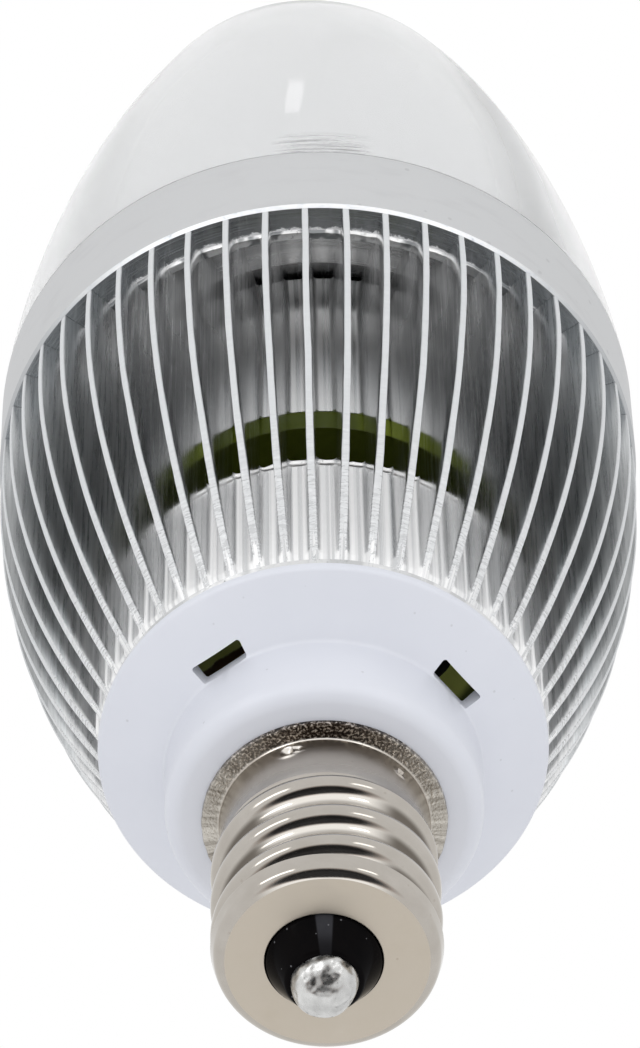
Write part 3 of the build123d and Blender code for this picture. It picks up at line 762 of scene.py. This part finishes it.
PLATE_R, PLATE_TOP, RIM_R = 17.75, 38.0, 16.2
LEDGE_Z, BEAD_Z, BEAD_R = 32.3, 32.12, 16.05  # the ledge, and the torn bead round the pocket's mouth
plate_profile = dense(rounded([
    (0.0, SEAT_Z, 0), (15.68, SEAT_Z, 0.08), (15.68, BEAD_Z, 0.1), (16.14, BEAD_Z, 0.12),
    (16.24, LEDGE_Z, 0.03), (17.58, LEDGE_Z, 0.02), (PLATE_R, 32.48, 0.03), (PLATE_R, PLATE_TOP, 0.08),
    (RIM_R, PLATE_TOP, 0.05), (RIM_R, 35.0, 0.1), (0.0, 35.0, 0)]), 1.5)


def plate_pick(r, z):
    """Band 0, underside 1, chamfer 2, bead 3."""
    if r > 17.72 and z > 32.49:
        return 0
    if r > 17.56 and z < 32.52:
        return 2
    if r < 16.23 and 32.0 < z < 32.6:
        return 3
    return 1 if z < 34 else 0


def tear(r, z, angle):
    ragged = wobble(len(angle), 3) * 0.6 + wobble(len(angle), 9) * 0.4
    bead = np.exp(-((r - BEAD_R) / 0.2) ** 2) * (z < 32.8)
    return r + 0.14 * bead * ragged, z


piece(lathe("lamp_plate_body", plate_profile, 400, [BAND, FACE, CUT, BURR], plate_pick, shape=tear),
      "aluminium", "lamp_plate")


# Globe: thick wall, round nose, foot inside the plate's rim

NOSE_Z, NOSE_R, TIP_Z = 63.6, 11.35, 77.2
NOSE_WALL, FOOT_WALL = 2.0, 2.95
NOSE_END = math.radians(22.0)  # where the side takes over from the round nose
NOSE_LEAN, LEAN_FROM = 0.5, 62.0  # how far the tip leans to one side, and the height where that starts
FOOT_GAP = 0.02  # between the globe's shoulder and the plate's rim


def nose(radius, steps=40):
    """A round nose, its tip drawn out to the bulb's full length."""
    a = np.linspace(math.pi / 2, NOSE_END, steps)
    tip = (TIP_Z - NOSE_Z - NOSE_R) * smooth(a, 0.7, math.pi / 2)
    return np.stack([radius * np.cos(a), NOSE_Z + radius * np.sin(a) + tip], 1)


def globe_side(steps):
    """The outside from the nose to the plate: one arc that leaves the nose without a corner."""
    inward = -np.array((math.cos(NOSE_END), math.sin(NOSE_END)))
    start = np.array((0.0, NOSE_Z)) - NOSE_R * inward
    chord = np.array((PLATE_R, PLATE_TOP)) - start
    radius = (chord @ chord) / (2 * chord @ inward)
    centre = start + radius * inward
    z = np.linspace(start[1], PLATE_TOP, steps)
    return np.stack([centre[0] + np.sqrt(radius**2 - (z - centre[1]) ** 2), z], 1)


def globe_profile():
    outer_nose, inner_nose = nose(NOSE_R), nose(NOSE_R - NOSE_WALL)
    outer_side = globe_side(70)
    inner_r, inner_top = inner_nose[-1]
    z = np.linspace(inner_top, PLATE_TOP, 60)
    outer_r = np.interp(z, outer_side[::-1, 1], outer_side[::-1, 0])
    top_wall = outer_r[0] - inner_r
    share = (inner_top - z) / (inner_top - PLATE_TOP)
    wall = top_wall + (FOOT_WALL - top_wall) * share**1.6
    inner_side = np.stack([outer_r - wall, z], 1)
    rim_z = PLATE_TOP + FOOT_GAP
    foot = [(PLATE_R - 0.01, rim_z), (RIM_R, rim_z), (RIM_R, 36.6), (14.8, 36.6)]
    return np.concatenate([outer_nose, outer_side[1:-1], foot, inner_side[::-1], inner_nose[::-1][1:]])


globe = lathe("globe_moulding", globe_profile(), 220, [CLEAR], sharp=40)
for v in globe.data.vertices:
    v.co.x -= NOSE_LEAN * MM * max(0.0, (v.co.z / MM - LEAN_FROM) / (TIP_Z - LEAN_FROM)) ** 2
piece(globe, "clear_plastic", "globe")


# White housing: nose, neck, shallow cone with four vents, spigot

VENTS, VENT_TURN = 4, 53  # the first vent's angle in degrees
VENT_R, VENT_HALF_W, VENT_HALF_L, VENT_CORNER = 8.85, 0.45, 1.5, 0.16
VENT_Z0, VENT_Z1, VENT_FLARE = 4.05, 9.0, 1.1
housing_profile = dense(rounded([
    (4.05, -2.4, 0), (4.95, -2.4, 0.1), (4.95, 0.02, 0), (8.3, 0.02, 0.95), (8.3, 4.3, 0.35),
    (11.85, 5.9, 0.35), (11.85, 6.35, 0.08), (10.78, 6.35, 0), (10.78, 11.95, 0.2), (9.6, 11.95, 0.2),
    (9.6, 6.07, 0.3), (7.4, 4.6, 0.3), (7.4, 0.9, 0.3), (4.05, 0.9, 0)], 8), 1.2, closed=True)


def vent_cutter(angle):
    """A rounded slot through the cone, bent round the neck, its inner side leaning away from the opening."""
    w, h, c = VENT_HALF_W, VENT_HALF_L, VENT_CORNER
    ring = []
    for sx, sy, a0 in ((1, 1, 0), (-1, 1, 90), (-1, -1, 180), (1, -1, 270)):
        for t in np.radians(np.linspace(a0, a0 + 90, 5)):
            ring.append((sx * (w - c) + c * math.cos(t), sy * (h - c) + c * math.sin(t)))
    verts = []
    for z, flare in ((VENT_Z0, 0.0), (VENT_Z1, VENT_FLARE)):
        verts += [around(VENT_R + x - flare * (x < 0), z, angle + y / VENT_R) for x, y in ring]
    n = len(ring)
    faces = [tuple(range(n))[::-1], tuple(range(n, 2 * n))] + grid_faces(2, n)
    return build("vent_cutter", verts, faces, [WHITE])


housing = lathe("base_housing_moulding", housing_profile, 288, [WHITE], closed=True)
for k in range(VENTS):
    cutter = vent_cutter(math.radians(VENT_TURN + 360 * k / VENTS))
    cut = housing.modifiers.new("vent", "BOOLEAN")
    cut.operation, cut.solver, cut.object = "DIFFERENCE", "EXACT", cutter
    done = bpy.data.meshes.new_from_object(housing.evaluated_get(bpy.context.evaluated_depsgraph_get()))
    housing.modifiers.clear()
    housing.data = done
    bpy.data.objects.remove(cutter)
shade(housing.data, 35.0)
piece(housing, "white_plastic", "base_housing")


# Screw shell: flat flange, plain collar with stake marks, rolled thread, pressed end

LEAN = 0.17  # how far the contact and its glass sit to one side
PITCH, CREST, COLLAR, FLANGE = 2.54, 5.9, 5.45, 6.4
GROOVE_Z = -10.0
FLANK = math.radians(58)  # the steepest slope, halfway between a crest and a groove
CURVE_R = PITCH / (4 * math.sin(FLANK))  # radius of the crests and the grooves alike
GROOVE_R = CREST - 2 * CURVE_R * (1 - math.cos(FLANK))
THREAD_END, END_Z = -10.85, -12.0
STAKES = ((-19.5, -1.0, 0.26, 0.2), (-14.0, -0.95, 0.16, 0.12), (46.0, -1.15, 0.16, 0.22))
FINE, COARSE = 0.045, 0.25  # the longest runs on the thread and elsewhere
shell_profile = dense(rounded([
    (4.75, 0.0, 0), (FLANGE, 0.0, 0.08), (FLANGE, -0.3, 0.1), (COLLAR, -0.3, 0.16), (COLLAR, -2.0, 0),
    (CREST, THREAD_END, 0), (5.64, END_Z, 1.05), (2.95, END_Z, 0.12), (2.95, -11.65, 0), (4.4, -11.65, 0.3),
    (4.75, -10.8, 0), (4.75, -2.0, 0)], 12),
    lambda r, z: FINE if r > 4.8 and -12.1 < z < -0.4 else COARSE, closed=True)


def thread_at(drop):
    """The rolled thread's radius at a height over the middle of a groove."""
    off = np.abs((drop / PITCH + 0.5) % 1.0 - 0.5) * PITCH
    groove = GROOVE_R + CURVE_R - np.sqrt(CURVE_R**2 - np.minimum(off, PITCH / 4) ** 2)
    crest = CREST - CURVE_R + np.sqrt(CURVE_R**2 - np.minimum(PITCH / 2 - off, PITCH / 4) ** 2)
    return np.where(off < PITCH / 4, groove, crest)


def roll_thread(r, z, angle):
    """Rolls the thread into the turned shell, stakes the collar, knurls the flange and shifts the mouth."""
    lift = GROOVE_Z + PITCH * ((angle - math.pi / 2) % TAU) / TAU
    top, low = smooth(z, -3.3, -4.2), smooth(z, -10.35, THREAD_END)
    outer = COLLAR * (1 - top) + thread_at(z - lift[None, :]) * top
    outer = outer * (1 - low) + CREST * low
    on_outer = (z < -0.4) & (z > THREAD_END - 0.01) & (r > 5.2)
    r = np.where(on_outer, outer, r)
    for turn, height, size, depth in STAKES:
        across = ((angle - math.radians(turn) + math.pi) % TAU - math.pi) * COLLAR
        d2 = (across[None, :] ** 2 + (z - height) ** 2) / size**2
        dent = np.exp(-d2) - 0.45 * np.exp(-((np.sqrt(d2) - 1.5) / 0.4) ** 2)
        r = r - depth * np.where(on_outer, dent, 0)
    knurl = 0.5 + 0.5 * wobble(len(angle), 2)
    teeth = np.exp(-((r - FLANGE) / 0.12) ** 2) * (z < -0.02)
    mouth = smooth(r, 4.8, 3.2) * (z < -11.3)
    return r - 0.05 * teeth * knurl - LEAN * mouth * np.sin(angle), z


def shell_pick(r, z):
    """Rolled plate 0, pressed end 1."""
    return 1 if z < END_Z + 0.01 and r > 2.9 else 0


shell = lathe("screw_shell_rolled", shell_profile, 240, [NICKEL, END], shell_pick, closed=True, sharp=50,
              shape=roll_thread)
piece(shell, "nickel", "screw_shell")


# Black glass insulator, and the solder on the centre contact: a blob that ran a little to one side

glass_profile = rounded([
    (0.5, -10.6, 0), (3.0, -10.6, 0.2), (3.9, -11.6, 0.1), (2.93, -11.62, 0), (2.93, -12.1, 0.25),
    (1.95, -13.75, 0.35), (1.3, -13.8, 0), (0.5, -13.8, 0)], 8)
BLOB_R, BLOB_Z = 1.74, -13.72
blob = [(BLOB_R * math.sin(a), BLOB_Z - BLOB_R * math.cos(a)) for a in np.linspace(0, math.pi * 0.62, 44)]
blob.append((0.0, blob[-1][1]))


def run_solder(r, z, angle):
    share = r / BLOB_R
    lump = 0.03 * np.sin(2 * angle + 0.6)[None, :] + 0.015 * np.sin(5 * angle + 1.0)[None, :]
    return r * (1 + lump * share), z + 0.04 * share * np.cos(3 * angle + 0.4)[None, :]


insulator = lathe("insulator_glass", dense(glass_profile, 0.3, True), 160, [GLASS], closed=True)
contact = lathe("centre_contact_solder", blob, 96, [SOLDER], shape=run_solder, sharp=80)
for ob in (insulator, contact):
    ob.data.transform(Matrix.Translation((-LEAN * MM, 0, 0)))
piece(insulator, "black_glass", "insulator")
piece(contact, "solder", "centre_contact")


# Finishes for the CAD pieces that stay

INSIDE = {
    "driver_board": board_green(),
    "lamp_board": plain("board_white", (0.72, 0.72, 0.7), (0.8, 0.8, 0.78), 2.0, 0.4),
    "board_screws": plain("screw_steel", (0.5, 0.5, 0.5), (0.68, 0.67, 0.66), 3.0, 0.28, 1.0),
    "input_capacitor": sleeve_olive(),
    "output_capacitor": plain("sleeve_black", (0.012, 0.012, 0.015), (0.03, 0.03, 0.034), 2.0, 0.35),
    "transformer_core": plain("ferrite", (0.03, 0.03, 0.032), (0.07, 0.07, 0.072), 4.0, 0.6),
    "transformer_coil": plain("tape_yellow", (0.6, 0.4, 0.04), (0.75, 0.55, 0.08), 1.5, 0.4,
                              stretch=(1, 1, 4)),
    "driver_chip": plain("resin_black", (0.01, 0.01, 0.011), (0.025, 0.025, 0.026), 6.0, 0.55),
    "fuse_resistor": plain("resistor_grey", (0.2, 0.22, 0.22), (0.3, 0.32, 0.31), 3.0, 0.5),
    "live_lead": plain("wire_red", (0.4, 0.015, 0.012), (0.55, 0.03, 0.02), 2.0, 0.4),
    "neutral_lead": plain("wire_black", (0.012, 0.012, 0.012), (0.03, 0.03, 0.03), 2.0, 0.4),
    "emitter_1": plain("emitter_body", (0.72, 0.7, 0.62), (0.82, 0.8, 0.72), 2.0, 0.45),
    "lens_1": plain("lens_silicone", (0.9, 0.8, 0.35), (0.95, 0.88, 0.5), 0.8, 0.12, relief=0.03,
                    IOR=1.42, Transmission_Weight=0.6),
}
INSIDE["bridge_rectifier"] = INSIDE["driver_chip"]
INSIDE["lamp_lead_positive"] = INSIDE["live_lead"]
INSIDE["lamp_lead_negative"] = INSIDE["neutral_lead"]
for k in (2, 3):
    INSIDE[f"emitter_{k}"] = INSIDE["emitter_1"]
    INSIDE[f"lens_{k}"] = INSIDE["lens_1"]
for name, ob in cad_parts.items():
    if name in INSIDE:
        ob.data.materials.clear()
        ob.data.materials.append(INSIDE[name])


# Stage, in metres: a pale floor below the camera, and a dark card that only reflections see

CAP = Vector((0, 0, -0.006))
BULB = Vector((0, 0, 0.02))
STAGE_Z, STAGE_SIZE = -0.55, 8.0


def sheet(name, points, cols, mat):
    """A stage surface through rows of points."""
    faces = [(a + j, a + j + 1, a + cols + j + 1, a + cols + j)
             for a in range(0, len(points) - cols, cols) for j in range(cols - 1)]
    me = bpy.data.meshes.new(name)
    me.from_pydata([tuple(q) for q in points], [], faces)
    me.materials.append(mat)
    ob = bpy.data.objects.new(name, me)
    scene.collection.objects.link(ob)
    return ob


def stage_white(name):
    """White to metal and to glass; lit like paper for everything else, so it keeps the shadow."""
    p = Paint(name, rough=0.9)
    soft = p.noise((1, 1, 1), 0.02, 2.0, 0.5)
    p.set("Base Color", p.mix(soft, (0.86, 0.86, 0.86), (0.9, 0.9, 0.9)))
    glow = p.node("ShaderNodeEmission")
    p.put(glow.inputs["Strength"], 0.35)
    both = p.node("ShaderNodeAddShader")
    p.put(both.inputs[0], p.bsdf.outputs[0])
    p.put(both.inputs[1], glow.outputs[0])
    rays = p.node("ShaderNodeLightPath")
    seen = p.math("MAXIMUM", rays.outputs["Is Glossy Ray"], rays.outputs["Is Transmission Ray"])
    white = p.node("ShaderNodeEmission")
    p.mix_shaders(seen, both.outputs[0], white.outputs[0])
    return p.mat


def aim(azimuth, elevation, distance):
    """A place seen from the cap in a direction, in degrees."""
    a, e = math.radians(azimuth), math.radians(elevation)
    return CAP + distance * Vector((math.sin(a) * math.cos(e), -math.cos(a) * math.cos(e), math.sin(e)))


def soft_card(name, centre, reach, tone, edge, distance):
    """A curved oval card round the cap that only reflections see, with a tint towards its clear edge.
    Its centre and reach are an azimuth and an elevation in degrees."""
    p = Paint(name, rough=0.8)
    degrees = 180 / math.pi
    from_cap = p.vec("NORMALIZE", p.vec("SUBTRACT", p.here, tuple(CAP / MM)))
    rise = p.math("ARCSINE", p.vec("DOT_PRODUCT", from_cap, (0, 0, 1)))
    shares = []
    for angle, middle, half in zip((p.angle(), rise), centre, reach):
        share = p.math("DIVIDE", p.math("SUBTRACT", p.times(angle, degrees), middle), half)
        shares.append(p.times(share, share))
    cover = p.span(p.math("ADD", *shares), 1.0, 0.35)
    p.set("Base Color", p.ramp(cover, [(0.4, edge), (0.9, tone)]))
    clear = p.node("ShaderNodeBsdfTransparent")
    p.mix_shaders(cover, clear.outputs[0], p.bsdf.outputs[0])
    cols, rows = 25, 11
    (a, e), (da, de) = centre, reach
    points = [aim(azimuth, elevation, distance)
              for elevation in np.linspace(max(e - de, -90), e + de, rows)
              for azimuth in np.linspace(a - da, a + da, cols)]
    ob = sheet(name, points, cols, p.mat)
    ob.visible_camera = ob.visible_diffuse = ob.visible_shadow = ob.visible_transmission = False


floor_cols = 9
floor_points = [(u * STAGE_SIZE, -v * STAGE_SIZE, STAGE_Z)
                for v in (-0.5, 0.5) for u in np.linspace(-0.5, 0.5, floor_cols)]
sheet("floor", floor_points, floor_cols, stage_white("floor_white"))
soft_card("card_front", (3, -58), (80, 40), (0.012, 0.011, 0.012), (0.3, 0.13, 0.04), 0.042)


# Light: a pale room, four soft boxes for matte surfaces and three strips that only reflections see

def make_room(color, strength):
    """A room that lights the bulb at one level and is white to the camera, to metal and to glass."""
    scene.world = bpy.data.worlds.new("room")
    scene.world.use_nodes = True
    tree = scene.world.node_tree
    tree.nodes.clear()
    rays = tree.nodes.new("ShaderNodeLightPath")
    seen = rays.outputs["Is Camera Ray"]
    for kind in ("Is Glossy Ray", "Is Transmission Ray"):
        most = tree.nodes.new("ShaderNodeMath")
        most.operation = "MAXIMUM"
        tree.links.new(seen, most.inputs[0])
        tree.links.new(rays.outputs[kind], most.inputs[1])
        seen = most.outputs[0]
    room = tree.nodes.new("ShaderNodeBackground")
    room.inputs["Color"].default_value = (*color, 1.0)
    room.inputs["Strength"].default_value = strength
    white = tree.nodes.new("ShaderNodeBackground")
    white.inputs["Color"].default_value = (1.0, 1.0, 1.0, 1.0)
    pick = tree.nodes.new("ShaderNodeMixShader")
    for i, socket in enumerate((seen, room.outputs[0], white.outputs[0])):
        tree.links.new(socket, pick.inputs[i])
    end = tree.nodes.new("ShaderNodeOutputWorld")
    tree.links.new(pick.outputs[0], end.inputs[0])


def soft_box(name, place, size, power, mirrored=False):
    """A lamp that lights matte surfaces and stays out of reflections, or the other way round."""
    data = bpy.data.lights.new(name, "AREA")
    data.shape, data.size, data.size_y = "RECTANGLE", size[0], size[1]
    data.energy = power
    ob = bpy.data.objects.new(name, data)
    ob.location = place
    ob.rotation_mode = "QUATERNION"
    aimed_at = CAP if place[2] < 0 else BULB
    ob.rotation_quaternion = (aimed_at - Vector(place)).to_track_quat("-Z", "Y")
    scene.collection.objects.link(ob)
    ob.visible_camera = False
    ob.visible_glossy = mirrored
    ob.visible_diffuse = ob.visible_transmission = not mirrored


make_room((0.97, 0.98, 1.0), 0.62)
soft_box("box_left", (-0.42, -0.42, 0.15), (0.35, 0.5), 0.4)
soft_box("box_right", (0.45, -0.36, 0.1), (0.3, 0.5), 0.25)
soft_box("box_top", (0.0, -0.5, 0.45), (0.5, 0.3), 0.35)
soft_box("box_front", (0.0, -0.6, -0.1), (0.5, 0.5), 0.55)
soft_box("strip_top", (-0.021, -0.109, 0.535), (0.02, 0.05), 0.003, mirrored=True)
soft_box("strip_left", (-0.05, -0.06, -0.008), (0.04, 0.016), 0.0046, mirrored=True)
soft_box("strip_right", (0.044, -0.066, -0.008), (0.022, 0.014), 0.0018, mirrored=True)


# Camera: below and in front of the cap, a long lens, fitted to the photograph

PHOTO_HEIGHT, FOCAL = 1048, 6688.9  # pixels
OFF_X, OFF_Y = 0.895, 102.75  # pixels from the picture's middle to the point aimed at
SENSOR = 36.0  # millimetres
TILT, ROLL = 0.60281, -0.0196  # radians from looking straight up the bulb's axis, and about the line of sight
DISTANCE, AIMED_AT = 0.36099, Vector((0, 0, 0.01771))


def make_camera():
    data = bpy.data.cameras.new("camera")
    data.sensor_fit, data.sensor_height, data.sensor_width = "VERTICAL", SENSOR, SENSOR
    data.lens = FOCAL / PHOTO_HEIGHT * SENSOR
    data.clip_start, data.clip_end = 0.02, 20.0
    c, s = math.cos(TILT), math.sin(TILT)
    turn = Matrix(((1, 0, 0), (0, -c, -s), (0, s, -c))) @ Matrix.Rotation(ROLL, 3, "Z")
    turn = turn @ Matrix.Rotation(math.atan(OFF_Y / FOCAL), 3, "X")
    turn = turn @ Matrix.Rotation(math.atan(OFF_X / FOCAL), 3, "Y")
    camera = bpy.data.objects.new("camera", data)
    camera.matrix_world = Matrix.Translation(AIMED_AT + DISTANCE * Vector((0, -s, -c))) @ turn.to_4x4()
    scene.collection.objects.link(camera)
    scene.camera = camera


make_camera()
scene.view_settings.view_transform = "Standard"
scene.cycles.max_bounces = 20
scene.cycles.glossy_bounces = 12
